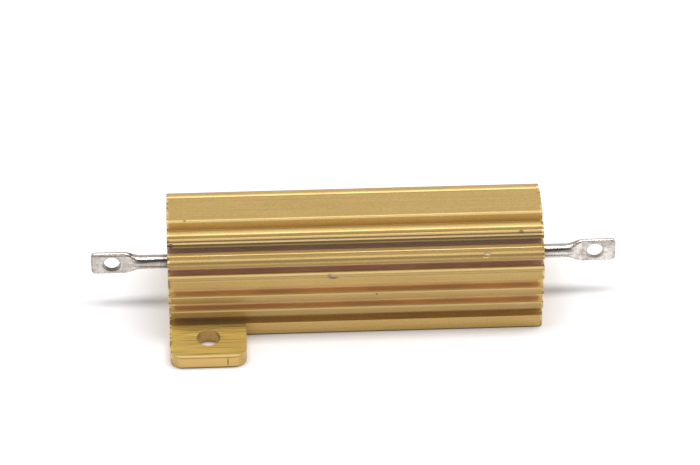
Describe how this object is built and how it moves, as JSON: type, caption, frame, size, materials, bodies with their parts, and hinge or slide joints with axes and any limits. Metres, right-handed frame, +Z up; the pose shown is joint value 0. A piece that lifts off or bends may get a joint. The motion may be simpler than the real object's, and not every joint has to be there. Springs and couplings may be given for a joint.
{
  "type": "aluminium housed power resistor",
  "caption": "Wirewound power resistor in a finned gold anodised aluminium housing, with diagonal bolt-down tabs and pierced solder lugs at both ends.",
  "frame": {"origin": "centre of the mounting face", "axes": "+X along the housing to the right terminal, +Y across it away from the viewer, +Z up from the mounting face through the flat top"},
  "size_m": [0.0707, 0.0288, 0.0155],
  "materials": {
    "gold_anodised": "satin, gold anodised, fine extrusion lines along the length",
    "silicone": "matt, moulded",
    "ceramic": "unglazed white ceramic",
    "resistance_wire": "drawn nickel chrome wire",
    "cap_steel": "drawn stainless steel",
    "tinned_wire": "hot tinned copper clad steel, slightly dull"
  },
  "bodies": {
    "root": {"housing": "gold_anodised", "encapsulant": "silicone", "ceramic_core": "ceramic", "resistance_winding": "resistance_wire", "end_cap_left": "cap_steel", "end_cap_right": "cap_steel", "terminal_left": "tinned_wire", "terminal_right": "tinned_wire"}
  },
  "joints": []
}
